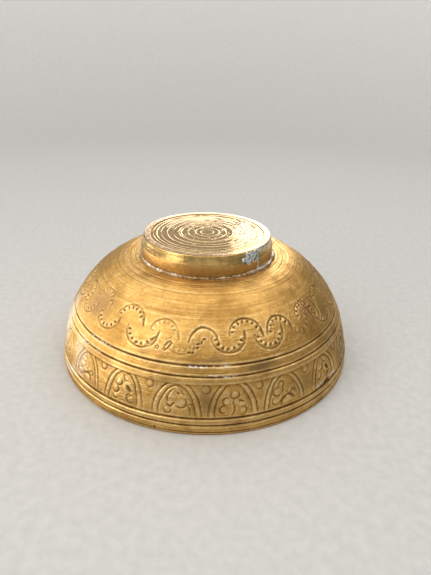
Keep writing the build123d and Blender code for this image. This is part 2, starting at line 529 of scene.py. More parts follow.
latheLines = {
    "count": 190,
    "span": (38.0, 64.0),
    "strongAt": 46.5,
    "strongWidth": 2.2,
    "ringFrom": 58.0,  # deeper ones beside the foot
    "depth": (0.02, 0.11),
    "width": (0.35, 0.9),
    "fadeTo": 40.0,  # they fade out down the wall
    "fadeOver": 8,
}

marksAndPaintedLight = {
    "gougePlace": (50.5, 7.9),
    "gouge": (  # offset, size, strength, slant, layer
        ((0, 0), (2.9, 1.3), 0.75, 4, "depth"),
        ((-3.6, 0.1), (1.8, 0.5), 0.3, 4, "depth"),
        ((3.4, 0.3), (2.2, 0.5), 0.3, 4, "depth"),
        ((-4.6, 0.6), (3.4, 0.6), 1.0, 3, "silver"),
        ((4.8, 0.9), (3.6, 0.7), 1.0, 3, "silver"),
    ),
    "nick": (-15.0, 1.4),
    "punch": (-17.0, 32.1),
    "stainsAndPaintedShade": (  # stains, and on the lower right (60 and 70 degrees) a painted dark reflection: angle, along, size, strength
        (22.0, 25.4, (6.5, 2.0), 0.8),
        (14.0, 61.0, (7.0, 3.0), 0.55),
        (-22.0, 29.5, (3.0, 1.6), 0.35),
        (60.0, 22.0, (10.0, 9.0), 0.35),
        (4.0, 28.9, (5.0, 1.5), 0.55),
        (-53.0, 38.0, (9.0, 7.0), 0.40),
        (1.5, 14.5, (3.0, 6.5), 0.50),
        (70.0, 12.0, (12.0, 11.0), 0.60),
        (38.0, 13.0, (9.0, 6.0), 0.35),
        (-30.0, 61.0, (9.0, 2.6), 0.30),
    ),
    "copperTints": (
        (-34.0, 19.4, (2.0, 1.8), 0.8),
        (-15.5, 18.6, (1.6, 1.4), 0.9),
        (-47.0, 9.5, (9.0, 3.0), 0.5),
        (52.0, 40.0, (7.0, 4.0), 0.6),
        (-54.0, 39.0, (8.0, 6.0), 0.55),
        (-16.0, 30.5, (3.5, 1.4), 0.5),
        (9.0, 5.5, (6.0, 2.0), 0.4),
    ),
    "paleWearAndHighlight": (  # rubbed almost white, and partly a painted highlight on the left side: angle, along, size, strength
        (-74.0, 20.0, (9.0, 14.0), 0.60),
        (-52.0, 16.0, (7.0, 9.0), 0.30),
        (-58.0, 6.0, (12.0, 2.5), 0.35),
    ),
    "flecks": (  # angle, along, spread in degrees, count
        (-1.0, 26.6, 2.2, 16),
        (8.0, 26.7, 1.6, 8),
        (4.0, 23.3, 1.2, 7),
        (9.5, 23.2, 1.6, 9),
        (-43.0, 26.9, 4.0, 10),
        (-50.0, 23.0, 6.0, 12),
        (58.0, 21.5, 5.0, 9),
    ),
}

mesh = {
    "columns": 960,
    "domeColumns": 480,
    "insideColumns": 240,
    "domeFrom": 46.9,  # the engraving ends below this, and the columns halve
    "domeTo": 66.0,
}


def cutLatheLines(canvas):
    # fine rings left by the turning tool, strongest above the scroll and round the foot
    rows = canvas["rows"]
    source = np.random.default_rng(7)
    breaks = softNoise(canvas, 9, 71)
    for _ in range(latheLines["count"]):
        along = source.uniform(*latheLines["span"])
        near = math.exp(-((along - latheLines["strongAt"]) / latheLines["strongWidth"]) ** 2)
        edge = 1 if along > latheLines["ringFrom"] else 0
        low = min(1, 0.2 + max(0, along - latheLines["fadeTo"]) / latheLines["fadeOver"])
        depth = source.uniform(*latheLines["depth"]) * low + 0.05 * near + 0.12 * edge
        width = source.uniform(*latheLines["width"])
        cut = depth * np.exp(-((rows - along) / (width / 2)) ** 2)
        broken = np.roll(breaks, int(source.integers(0, 900)), axis=1)[len(rows) // 2]
        reach = np.clip(0.65 + 0.6 * broken, 0, 1)
        canvas["scratch"] = np.maximum(canvas["scratch"], cut[:, None] * reach[None, :])


def addWearDamageAndPaintedLight(canvas):
    # gouges, a nick, a punch mark, stains, tints and flecks, with a painted dark reflection among the dark
    # patches and a painted highlight among the pale ones
    for offset, size, strength, slant, layer in marksAndPaintedLight["gouge"]:
        pit(canvas, marksAndPaintedLight["gougePlace"], offset, size, strength, slant, layer=layer)
    pit(canvas, marksAndPaintedLight["nick"], (0, 0), (0.5, 1.1), 0.45, 15)
    chisel(canvas, marksAndPaintedLight["punch"], arcPoints((0, 0), (0.6, 0.6), 0, 360, 12), 0.5, 0.3)
    patches = (("stainsAndPaintedShade", 5, "stain"), ("copperTints", 0, "copper"), ("paleWearAndHighlight", 20, "silver"))
    for name, slant, layer in patches:
        for angle, along, size, strength in marksAndPaintedLight[name]:
            pit(canvas, (angle, along), (0, 0), size, strength, slant, layer=layer)
    source = np.random.default_rng(19)
    for angle, along, spread, count in marksAndPaintedLight["flecks"]:
        for _ in range(count):
            place = (angle + source.normal(0, spread), along + source.normal(0, 0.22))
            pit(canvas, place, (0, 0), (source.uniform(0.25, 0.6), 0.25), 1.0, layer="silver")


def engraveBowl():
    stops = [(0.0, 0), (7.8, 0.26), (20.0, 0.34), (28.0, 0.26), (29.5, 0.4), (mesh["domeFrom"], 0.33)]
    canvas = makeCanvas(rowsBetween(stops), mesh["columns"])
    cutArches(canvas)
    under = np.clip((archBand["top"] - canvas["rows"]) / 0.5, 0, 1)[:, None]
    canvas["depth"] *= under
    canvas["lift"] *= under
    cutScrolls(canvas)
    wear = np.clip(0.88 + 0.42 * softNoise(canvas, 26, 5), 0.4, 1.0)
    canvas["depth"] *= wear
    canvas["lift"] *= wear
    recess = turnMouldings(canvas)
    addWearDamageAndPaintedLight(canvas)
    cutLatheLines(canvas)
    return canvas, recess


def bowlRings(canvas, recess):
    # radius and height of every point in millimetres, and how hollow or proud each one is
    dents = 0.09 * softNoise(canvas, 14, 3) + 0.06 * softNoise(canvas, 44, 9)
    dents += sum(
        height * handBeaten(canvas, size, seed)
        for height, size, seed in ((0.050, 4.5, 31), (0.030, 1.8, 32), (0.014, 0.8, 33))
    )
    relief = canvas["lift"] - canvas["depth"] - canvas["scratch"] - recess[:, None] + dents
    local = canvas["lift"] - canvas["depth"] - 1.6 * canvas["scratch"] - recess[:, None]
    blurred = local.copy()
    for _ in range(3):
        padded = np.pad(blurred, ((2, 2), (0, 0)), mode="edge")
        blurred = sum(padded[i:i + len(local)] for i in range(5)) / 5
        blurred = sum(np.roll(blurred, i, axis=1) for i in range(-2, 3)) / 5
    radii, heights, out, up = (canvas["points"][:, i, None] for i in range(4))
    return radii + relief * out, heights + relief * up, np.clip((blurred - local) / 0.14, -1, 1)


def makeBowl():
    columns, domeColumns, insideColumns = mesh["columns"], mesh["domeColumns"], mesh["insideColumns"]
    lower, recess = engraveBowl()
    upper = makeCanvas(rowsBetween([(mesh["domeFrom"] + 0.3, 0), (mesh["domeTo"], 0.32)]), domeColumns)
    cutLatheLines(upper)
    addWearDamageAndPaintedLight(upper)
    parts, faces = [], []
    marks = {key: [] for key in ("hollow", "groove", "stain", "copper", "silver")}

    def addRings(radii, heights, count, values=None):
        # returns where the new rings begin and where the last of them begins
        first = sum(len(part) for part in parts)
        parts.append(turnedRings(radii, heights, count))
        for key in marks:
            marks[key].append(values[key].ravel() if values else np.zeros(len(parts[-1])))
        return first, first + len(parts[-1]) - count

    def joinRings(first, last, count):
        faces.extend(ringFaces(first, (last - first) // count + 1, count))

    # the rim's rounded edge, from the flat underside up to the wall
    turns = np.radians(np.linspace(-90, -8, 6))
    rimRadii = rimRadius - profile["rimRound"] + profile["rimRound"] * np.cos(turns)
    rimFirst, _ = addRings(rimRadii, profile["rimRound"] * (1 + np.sin(turns)), columns)
    radii, heights, lower["hollow"] = bowlRings(lower, recess)
    start = int(np.argmax(lower["rows"] > profile["rimRound"] * 1.02))
    values = {key: lower[key][start:] for key in marks}
    _, wallTop = addRings(radii[start:], heights[start:], columns, values)
    joinRings(rimFirst, wallTop, columns)
    radii, heights, upper["hollow"] = bowlRings(upper, np.zeros(len(upper["rows"])))
    domeFirst, domeTop = addRings(radii, heights, domeColumns, upper)
    faces.extend(stepFaces(wallTop, columns, domeFirst, domeColumns))
    joinRings(domeFirst, domeTop, domeColumns)
    # the flat crown under the foot, out of sight
    crownRadii = np.linspace(footRadius - 2.5, 1.0, 6)
    crownFirst, crownTop = addRings(crownRadii, np.full(6, crownHeight), insideColumns)
    faces.extend(stepFaces(domeTop, domeColumns, crownFirst, insideColumns))
    joinRings(crownFirst, crownTop, insideColumns)
    faces.append(tuple(crownTop + i for i in range(insideColumns)))
    # the inside, from the centre of the floor back to the mouth
    insideFirst, insideLast = addRings(*insideProfile(), insideColumns)
    faces.append(tuple(insideFirst + i for i in reversed(range(insideColumns))))
    joinRings(insideFirst, insideLast, insideColumns)
    faces.extend(stepFaces(rimFirst, columns, insideLast, insideColumns, flip=True))
    attributes = {key: np.concatenate(values) for key, values in marks.items()}
    bowl = makePiece("bowl_shell_engraved", np.concatenate(parts), faces, attributes)
    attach(bowl, "root")
    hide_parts("bowl_shell")
    print("bowl engraved:", len(bowl.data.polygons), "faces")
    return bowl


def insideProfile():
    # radius and height from the floor's centre to the rim's flat underside
    wall = profile["wall"]
    radii = list(np.linspace(1.0, shoulderCentre[0], 22))
    heights = [crownHeight - wall] * len(radii)
    for angle in np.linspace(math.pi / 2, profile["wallSweep"], 18)[1:]:
        radii.append(shoulderCentre[0] + (profile["crownArc"] - wall) * math.cos(angle))
        heights.append(shoulderCentre[1] + (profile["crownArc"] - wall) * math.sin(angle))
    mouth = rimRadius - profile["rim"]
    inner = profile["wallArc"] - wall
    lastAngle = math.acos((mouth - wallCentre) / inner)
    for angle in np.linspace(profile["wallSweep"], lastAngle, 48)[1:]:
        radii.append(wallCentre + inner * math.cos(angle))
        heights.append(inner * math.sin(angle))
    corner = profile["rimRound"]
    radii += list(np.full(6, mouth))
    heights += list(np.linspace(heights[-1], corner, 7)[1:])
    for angle in np.radians(np.linspace(180, 270, 5))[1:]:
        radii.append(mouth + corner + corner * math.cos(angle))
        heights.append(corner + corner * math.sin(angle))
    return np.array(radii), np.array(heights)


bowl = makeBowl()


# Foot: a hoop with a rounded shoulder, a coarsely turned disc let into it, and the solder

foot = {
    "columns": 420,
    "bevelHeight": 3.9,
    "lipRadius": 27.3,
    "lipSoftness": 0.28,
    "seatWidth": 1.5,
    "discThickness": 2.2,
    "dent": 0.07,
}

disc = {
    "recess": 0.15,
    "ridges": (  # radius, height and width of each turned ridge
        (23.1, 0.09, 0.15), (21.7, 0.12, 0.17), (19.8, 0.07, 0.13), (17.0, 0.10, 0.16),
        (14.6, 0.04, 0.12), (12.2, 0.09, 0.15), (11.2, 0.11, 0.15), (8.2, 0.06, 0.13),
        (5.2, 0.07, 0.14), (2.7, 0.07, 0.13),
    ),
    "fine": 0.0006,  # height difference between one tool pass and the next
    "torn": 0.16,  # short flakes where the tool tore the metal
    "tornFrom": 30,
    "tornTo": 200,
}


def ringNoise(columns, waves, seed):
    # smooth unevenness round a ring, from -1 to 1
    source = np.random.default_rng(seed)
    turn = np.arange(columns) * 2 * np.pi / columns
    total = sum(
        np.sin(wave * turn + source.uniform(0, 6.28)) * source.uniform(0.3, 1) / wave ** 0.5
        for wave in range(1, waves)
    )
    return total / np.abs(total).max()


def footOutline():
    # radius and height up the wall, over the bevelled shoulder and across the lip
    wallTop = lipHeight - foot["bevelHeight"]
    points = [(footRadius, height) for height in np.linspace(crownHeight, wallTop - 0.35, 16)]
    width = footRadius - foot["lipRadius"]
    for share in np.linspace(0, 1, 20)[1:]:
        inward = share + 0.06 * math.sin(math.pi * share)
        points.append((footRadius - width * inward * (1 - 0.5 * math.exp(-share * 14)),
                       wallTop - 0.1 + (foot["bevelHeight"] - 0.2) * share))
    soft = foot["lipSoftness"]
    for share in (0.35, 0.7, 1.0):
        points.append((foot["lipRadius"] - soft * share * 1.3, lipHeight - soft * 0.35 * (1 - share)))
    for across in np.linspace(foot["lipRadius"] - 0.7, discRadius + 0.25, 9):
        points.append((across, lipHeight))
    points.append((discRadius + 0.08, lipHeight - 0.06))
    return np.array(points)


def makeFootRing():
    columns = foot["columns"]
    outline = footOutline()
    seat = lipHeight - foot["discThickness"]
    bore = discRadius - foot["seatWidth"]
    inner = np.array([(discRadius, lipHeight - 0.2), (discRadius, seat), (bore, seat), (bore, crownHeight)])
    section = np.concatenate([outline, inner])
    radii = np.repeat(section[:, 0, None], columns, axis=1)
    heights = np.repeat(section[:, 1, None], columns, axis=1)
    shape = len(outline)
    lift = np.clip((section[:shape, 1] - crownHeight) / (lipHeight - crownHeight), 0, 1)
    waves = foot["dent"] * ringNoise(columns, 14, 21)[None, :] * lift[:, None]
    fine = 0.022 * np.stack([ringNoise(columns, 60, 300 + row // 3) for row in range(shape)])
    toolMarks = 0.016 * rng.uniform(-1, 1, (shape, 1))
    radii[:shape] += np.minimum(waves + fine + toolMarks, 0.03)
    flat = section[:shape, 1] > lipHeight - 0.01
    heights[:shape][flat] -= np.abs(0.04 * ringNoise(columns, 26, 5))[None, :]
    piece = makePiece("foot_ring_turned", turnedRings(radii, heights, columns),
                      ringFaces(0, len(section), columns, close=True))
    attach(piece, "root")
    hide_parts("foot_ring")
    return piece


def discRelief(radii, columns):
    turn = np.arange(columns) * 2 * np.pi / columns
    relief = np.zeros((len(radii), columns))
    for index, (radius, height, width) in enumerate(disc["ridges"]):
        sway = 0.16 * ringNoise(columns, 5, 500 + index)
        strength = np.clip(0.8 + 0.45 * ringNoise(columns, 9, 520 + index), 0.2, 1.25)
        gap = (radii[:, None] - radius - sway[None, :]) / width
        relief += height * strength[None, :] * np.exp(-gap ** 2)
    passes = rng.uniform(-1, 1, (len(radii) // 3 + 1, 1))
    relief += disc["fine"] * np.repeat(passes, 3, axis=0)[:len(radii)]
    # flakes: short arcs, densest to the right and behind
    degrees = np.degrees(turn)
    torn = np.clip((degrees - disc["tornFrom"]) / 30, 0, 1)
    torn *= np.clip((disc["tornTo"] - degrees) / 30, 0, 1)
    outer = np.clip((radii - 11) / 5, 0, 1)
    source = np.random.default_rng(77)
    for _ in range(230):
        middle, reach = source.uniform(0, 360), source.uniform(1.5, 6.5)
        radius, thick = source.uniform(5.0, discRadius - 1.2), source.uniform(0.16, 0.34)
        along = ((degrees - middle + 180) % 360 - 180) / reach
        across = (radii - radius - 0.3 * source.normal()) / thick
        flake = np.exp(-along ** 2)[None, :] * np.exp(-across ** 2)[:, None]
        relief -= disc["torn"] * source.uniform(0.3, 1.0) * flake * (0.12 + torn[None, :] * outer[:, None])
    return relief


def makeFootDisc():
    columns = foot["columns"]
    top = lipHeight - disc["recess"]
    radii = np.linspace(0.4, discRadius - 0.12, 230)[::-1]
    relief = discRelief(radii, columns)
    fade = np.clip((discRadius - radii) / 0.5, 0, 1)[:, None]
    heights = np.minimum(top - 0.12 + relief * fade, lipHeight - 0.02)
    bottom = lipHeight - foot["discThickness"]
    edge = discRadius - 0.03
    sideRadii = np.array([edge - 1.0, edge, edge])
    sideHeights = np.array([bottom, bottom, top - 0.3])
    allRadii = np.concatenate([sideRadii, radii])
    grid = np.repeat(sideHeights[:, None], columns, axis=1)
    vertices = turnedRings(allRadii, np.concatenate([grid, heights]), columns)
    faces = ringFaces(0, len(allRadii), columns)
    last = (len(allRadii) - 1) * columns
    faces.append(tuple(last + i for i in range(columns)))
    faces.append(tuple(reversed(range(columns))))
    piece = makePiece("foot_disc_turned", vertices, faces)
    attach(piece, "root")
    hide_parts("foot_disc")
    return piece


def makeSolderSeam():
    # an uneven bead in the corner between hoop and crown
    columns = foot["columns"]
    points = 11
    width = seamHigh.x / mm - footRadius
    height = seamHigh.z / mm - crownHeight
    swell = 1.10 + 0.60 * ringNoise(columns, 24, 40) + 0.65 * ringNoise(columns, 110, 41)
    swell = np.clip(swell, 0.28, 1.65)
    radii = np.zeros((points + 1, columns))
    heights = np.zeros((points + 1, columns))
    radii[0] = footRadius - 0.25
    heights[0] = crownHeight - 0.2
    for index in range(points):
        angle = math.pi / 2 * index / (points - 1)
        lump = swell * (1 + 0.22 * ringNoise(columns, 150, 60 + index))
        plump = 0.72 + 0.12 * math.sin(2 * angle)
        radii[index + 1] = footRadius - 0.1 + (width * 0.95) * lump * math.cos(angle) * plump
        heights[index + 1] = crownHeight - 0.1 + (height * 1.1) * lump * math.sin(angle) * plump
    piece = makePiece("foot_solder_bead", turnedRings(radii, heights, columns),
                      ringFaces(0, points + 1, columns, close=True))
    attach(piece, "root")
    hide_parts("foot_solder_seam")
    return piece


patch = {
    "angle": 50.0,  # degrees from the front, to the right
    "halfAngle": 24.0,
    "blobAngle": 41.0,  # the main deposit
    "blobWidth": 9.8,
    "blobUp": (3.9, 8.7),  # above the crown
    "smearUp": (7.2, 8.9),  # a thinner smear runs on along the shoulder
    "dripAngle": 48.0,
    "dripWidth": 1.3,
    "thickness": 0.34,
}


def depositAt(angle, up, phases):
    # how much solder lies here, from 0 to 1
    low, high = patch["blobUp"]
    middle = (low + high) / 2
    ragged = 0.30 * math.sin(0.55 * angle + 1.3 * up + phases[0])
    ragged += 0.20 * math.sin(1.3 * angle - 2.1 * up + phases[1])
    away = ((angle - patch["blobAngle"]) / patch["blobWidth"]) ** 2 + ((up - middle) / (high - middle)) ** 2
    blob = 1 - away + ragged
    low, high = patch["smearUp"]
    middle = (low + high) / 2
    reach = (angle - patch["blobAngle"]) / (patch["halfAngle"] + patch["angle"] - patch["blobAngle"])
    smear = 0.75 - ((up - middle) / (high - middle)) ** 2 - max(0.0, reach) ** 4 + 0.8 * ragged
    if reach < 0:
        smear = -1
    sway = 0.5 * math.sin(up * 1.3 + phases[2])
    drip = 0.7 - ((angle - patch["dripAngle"] - sway) / patch["dripWidth"]) ** 2 if up < 5.5 else -1
    return max(0.0, min(1.0, 1.8 * max(blob, smear, drip)))


def makeRepairPatch():
    # a thin uneven deposit that follows the hoop's wall, with a drip down to the bead
    columns, rows = 120, 52
    outline = footOutline()
    wallRows = int(np.argmax(outline[:, 1] >= lipHeight - 0.02))
    phases = np.random.default_rng(88).uniform(0, 6.28, 8)
    angles = patch["angle"] + np.linspace(-patch["halfAngle"], patch["halfAngle"], columns)
    ups = np.linspace(0.5, lipHeight - crownHeight - 0.12, rows)
    front = []
    back = []
    for up in ups:
        height = crownHeight + up
        wall = float(np.interp(height, outline[:wallRows, 1], outline[:wallRows, 0]))
        for angle in angles:
            body = depositAt(angle, up, phases)
            lumps = 0.5 + 0.3 * math.sin(angle * 1.1 + phases[3]) * math.sin(up * 2.9 + phases[4])
            lumps += 0.2 * math.sin(angle * 2.7 + up * 4.6 + phases[5])
            skin = patch["thickness"] * body * lumps if body > 0 else -0.14
            turn = math.radians(angle)
            for shell, radius in ((front, wall + skin), (back, wall - 0.35)):
                shell.append((radius * math.sin(turn) * mm, -radius * math.cos(turn) * mm, height * mm))
    faces = []
    behind = columns * rows
    for row in range(rows - 1):
        for column in range(columns - 1):
            a = row * columns + column
            quad = (a, a + 1, a + columns + 1, a + columns)
            faces.append(quad)
            faces.append(tuple(behind + i for i in reversed(quad)))
    border = list(range(columns))
    border += [row * columns + columns - 1 for row in range(1, rows)]
    border += [(rows - 1) * columns + column for column in reversed(range(columns - 1))]
    border += [row * columns for row in reversed(range(1, rows - 1))]
    for here, ahead in zip(border, border[1:] + border[:1]):
        faces.append((ahead, here, behind + here, behind + ahead))
    piece = makePiece("foot_repair_deposit", front + back, faces)
    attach(piece, "root")
    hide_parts("solder_repair_patch")
    return piece


footRing = makeFootRing()
footDisc = makeFootDisc()
solderSeam = makeSolderSeam()
repairPatch = makeRepairPatch()
print("foot turned and soldered")


# Shader helpers

def newGroup(name, inputs, outputs):
    group = bpy.data.node_groups.new(name, "ShaderNodeTree")
    for label, kind, value in inputs:
        socket = group.interface.new_socket(name=label, in_out="INPUT", socket_type="NodeSocket" + kind)
        if value is not None:
            socket.default_value = value
    for label, kind in outputs:
        group.interface.new_socket(name=label, in_out="OUTPUT", socket_type="NodeSocket" + kind)
    return group, group.nodes.new("NodeGroupInput").outputs, group.nodes.new("NodeGroupOutput").inputs


def feed(tree, socket, value):
    # another socket is linked, anything else is a constant
    if isinstance(value, bpy.types.NodeSocket):
        tree.links.new(value, socket)
    else:
        socket.default_value = value


def wire(tree, kind, settings=None, **inputs):
    # a node with its settings and its inputs by name
    node = tree.nodes.new("ShaderNode" + kind)
    for key, value in (settings or {}).items():
        setattr(node, key, value)
    for key, value in inputs.items():
        feed(tree, node.inputs[key], value)
    return node


def maths(tree, operation, *values, clamp=False):
    node = wire(tree, "Math", {"operation": operation, "use_clamp": clamp})
    for socket, value in zip(node.inputs, values):
        feed(tree, socket, value)
    return node.outputs[0]


def times(tree, first, second):
    return maths(tree, "MULTIPLY", first, second)


def plus(tree, first, second, clamp=False):
    return maths(tree, "ADD", first, second, clamp=clamp)


def mixColour(tree, share, first, second):
    node = wire(tree, "Mix", {"data_type": "RGBA"})
    for index, value in ((0, share), (6, first), (7, second)):
        feed(tree, node.inputs[index], value)
    return node.outputs[2]


def tint(tree, tone, added, mask, strength):
    # lays another colour over a tone where the mask allows
    return mixColour(tree, times(tree, mask, strength), tone, added)


def remap(tree, value, low, high, newLow=0.0, newHigh=1.0):
    node = wire(tree, "MapRange", {"clamp": True}, Value=value)
    for index, number in enumerate((low, high, newLow, newHigh)):
        node.inputs[index + 1].default_value = number
    return node.outputs[0]


def colour(red, green, blue):
    return (red, green, blue, 1.0)


def makeCloudGroup():
    # slow blotches of handling and polish, and finer mottling inside them
    group, given, made = newGroup(
        "patinaClouds",
        [("Vector", "Vector", None), ("Broad", "Float", 22.0), ("Fine", "Float", 160.0)],
        [("Broad", "Float"), ("Fine", "Float")],
    )
    broad = wire(group, "TexNoise", Vector=given["Vector"], Scale=given["Broad"], Detail=4.0, Roughness=0.6)
    fine = wire(group, "TexNoise", Vector=given["Vector"], Scale=given["Fine"], Detail=6.0, Roughness=0.65,
                Distortion=0.4)
    group.links.new(remap(group, broad.outputs[0], 0.35, 0.68), made["Broad"])
    group.links.new(remap(group, fine.outputs[0], 0.32, 0.70), made["Fine"])
    return group


def makeLatheGroup():
    # rings that follow the turning, broken up round the axis
    group, given, made = newGroup(
        "latheMarks",
        [("Vector", "Vector", None), ("Density", "Float", 900.0), ("Break", "Float", 3.0)],
        [("Height", "Float"), ("Mask", "Float")],
    )
    parts = wire(group, "SeparateXYZ", Vector=given["Vector"]).outputs
    radius = maths(group, "SQRT", plus(group, maths(group, "POWER", parts[0], 2.0),
                                        maths(group, "POWER", parts[1], 2.0)))
    turn = maths(group, "ARCTAN2", parts[0], times(group, parts[1], -1.0))
    seam = maths(group, "ABSOLUTE", turn)  # the same on both sides of the back, so no seam shows
    along = wire(
        group, "CombineXYZ",
        X=times(group, radius, given["Density"]),
        Y=times(group, parts[2], given["Density"]),
        Z=times(group, seam, given["Break"]),
    ).outputs[0]
    lines = wire(group, "TexNoise", Vector=along, Scale=1.0, Detail=4.0, Roughness=0.75)
    group.links.new(lines.outputs[0], made["Height"])
    group.links.new(remap(group, lines.outputs[0], 0.52, 0.72), made["Mask"])
    return group


def makeScratchGroup():
    # short hairlines in every direction, with small pits
    group, given, made = newGroup(
        "hairlines",
        [("Vector", "Vector", None), ("Scale", "Float", 60.0)],
        [("Lines", "Float"), ("Pits", "Float")],
    )
    total = 0.0
    for turn in ((0.3, 0.2, 0.5), (1.2, 0.7, 2.1), (0.4, 1.9, 1.1)):
        placed = wire(group, "Mapping", Vector=given["Vector"], Rotation=turn, Scale=(1.0, 14.0, 14.0))
        noise = wire(group, "TexNoise", Vector=placed.outputs[0], Scale=given["Scale"], Detail=2.0,
                     Roughness=0.5)
        away = maths(group, "ABSOLUTE", maths(group, "SUBTRACT", noise.outputs[0], 0.5))
        total = maths(group, "MAXIMUM", total, remap(group, away, 0.0, 0.012, 1.0, 0.0))
    spots = wire(group, "TexVoronoi", Vector=given["Vector"], Scale=times(group, given["Scale"], 9.0))
    pits = remap(group, spots.outputs["Distance"], 0.10, 0.22, 1.0, 0.0)
    chosen = wire(group, "TexNoise", Vector=given["Vector"], Scale=times(group, given["Scale"], 2.0))
    pits = times(group, pits, remap(group, chosen.outputs[0], 0.52, 0.62))
    group.links.new(total, made["Lines"])
    group.links.new(pits, made["Pits"])
    return group


cloudGroup = makeCloudGroup()
latheGroup = makeLatheGroup()
scratchGroup = makeScratchGroup()


def startMaterial(name):
    material = bpy.data.materials.new(name)
    material.use_nodes = True
    tree = material.node_tree
    shader = tree.nodes["Principled BSDF"]
    place = tree.nodes.new("ShaderNodeTexCoord").outputs["Object"]
    return material, tree, shader, place


def placeGroup(tree, group, place, **values):
    node = tree.nodes.new("ShaderNodeGroup")
    node.node_tree = group
    tree.links.new(place, node.inputs["Vector"])
    for key, value in values.items():
        node.inputs[key].default_value = value
    return node.outputs


def bumpFrom(tree, layers):
    # bumps stacked from (height, distance in mm, strength)
    normal = None
    for height, distance, strength in layers:
        bump = wire(tree, "Bump", Height=height, Strength=strength, Distance=distance * mm)
        if normal is not None:
            tree.links.new(normal, bump.inputs["Normal"])
        normal = bump.outputs[0]
    return normal


def settle(tree, shader, tone, rough, metal, bumps):
    # what every metal ends with
    normal = bumpFrom(tree, bumps)
    for name, value in (("Base Color", tone), ("Roughness", rough), ("Metallic", metal), ("Normal", normal)):
        feed(tree, shader.inputs[name], value)


def markOf(tree, name):
    return wire(tree, "Attribute", {"attribute_name": name}).outputs["Fac"]


bowlFinish = {
    "bright": colour(0.86, 0.525, 0.16),
    "worn": colour(0.95, 0.70, 0.33),
    "aged": colour(0.47, 0.235, 0.052),
    "brown": colour(0.29, 0.150, 0.036),
    "recess": colour(0.062, 0.029, 0.008),
    "stain": colour(0.15, 0.12, 0.07),
    "copper": colour(0.52, 0.25, 0.14),
    "silver": colour(0.90, 0.88, 0.84),
    "roughness": (0.31, 0.52),
    "grime": 0.88,  # how much of a cut's floor is darkened
}


def makeBowlMaterial():
    material, tree, shader, place = startMaterial("aged_bowl_brass")
    clouds = placeGroup(tree, cloudGroup, place, Broad=20.0, Fine=150.0)
    lathe = placeGroup(tree, latheGroup, place, Density=1500.0, Break=1.4)
    coarse = placeGroup(tree, latheGroup, place, Density=620.0, Break=2.4)
    scratches = placeGroup(tree, scratchGroup, place, Scale=70.0)
    grain = placeGroup(tree, cloudGroup, place, Broad=75.0, Fine=620.0)
    hollow = markOf(tree, "hollow")
    sunk = remap(tree, hollow, 0.10, 1.0)
    proud = remap(tree, hollow, -0.05, -0.45)
    finish = bowlFinish

    age = plus(tree, times(tree, clouds["Broad"], 0.45), times(tree, clouds["Fine"], 0.34))
    age = plus(tree, age, times(tree, lathe["Mask"], 0.50), clamp=True)
    tone = mixColour(tree, age, finish["bright"], finish["aged"])
    shine = times(tree, proud, remap(tree, clouds["Fine"], 0.9, 0.2, 0.35, 0.9))
    tone = mixColour(tree, shine, tone, finish["worn"])
    tone = tint(tree, tone, finish["aged"], coarse["Mask"], 0.60)
    tone = tint(tree, tone, finish["brown"], remap(tree, grain["Broad"], 0.40, 1.0), 0.50)
    tone = tint(tree, tone, finish["brown"], grain["Fine"], 0.42)
    tone = tint(tree, tone, finish["copper"], markOf(tree, "copper"), 0.6)
    # stains, and on the lower right a painted dark reflection
    tone = tint(tree, tone, finish["stain"], markOf(tree, "stain"), 0.75)
    sunk = maths(tree, "MAXIMUM", sunk, remap(tree, markOf(tree, "groove"), 0.25, 0.9, 0.0, 1.25))
    dirt = remap(tree, clouds["Fine"], 0.0, 1.0, 0.6 * finish["grime"], finish["grime"])
    grime = times(tree, sunk, dirt)
    tone = mixColour(tree, grime, tone, finish["recess"])
    # pale flecks and rubbed wear, and on the left side a painted highlight
    fleckAndSheen = times(tree, markOf(tree, "silver"), remap(tree, scratches["Lines"], 0, 1, 0.75, 1.0))
    tone = mixColour(tree, fleckAndSheen, tone, finish["silver"])
    tone = tint(tree, tone, finish["recess"], scratches["Pits"], 0.5)

    rough = remap(tree, age, 0.0, 1.0, *finish["roughness"])
    rough = plus(tree, rough, times(tree, grime, 0.25))
    rough = maths(tree, "SUBTRACT", rough, times(tree, shine, 0.06))
    metal = maths(tree, "SUBTRACT", 1.0, times(tree, grime, 0.15))
    settle(tree, shader, tone, rough, metal, (
        (lathe["Height"], 0.17, 0.7),
        (coarse["Height"], 0.27, 0.6),
        (clouds["Fine"], 0.20, 0.6),
        (grain["Fine"], 0.14, 0.7),
        (scratches["Lines"], -0.02, 0.4),
    ))
    shader.inputs["Specular Tint"].default_value = colour(1.0, 0.95, 0.84)
    return material


footFinish = {
    "bright": colour(0.90, 0.56, 0.17),
    "worn": colour(0.97, 0.63, 0.23),
    "aged": colour(0.44, 0.245, 0.075),
    "low": colour(0.25, 0.135, 0.042),
    "grey": colour(0.44, 0.40, 0.31),
}


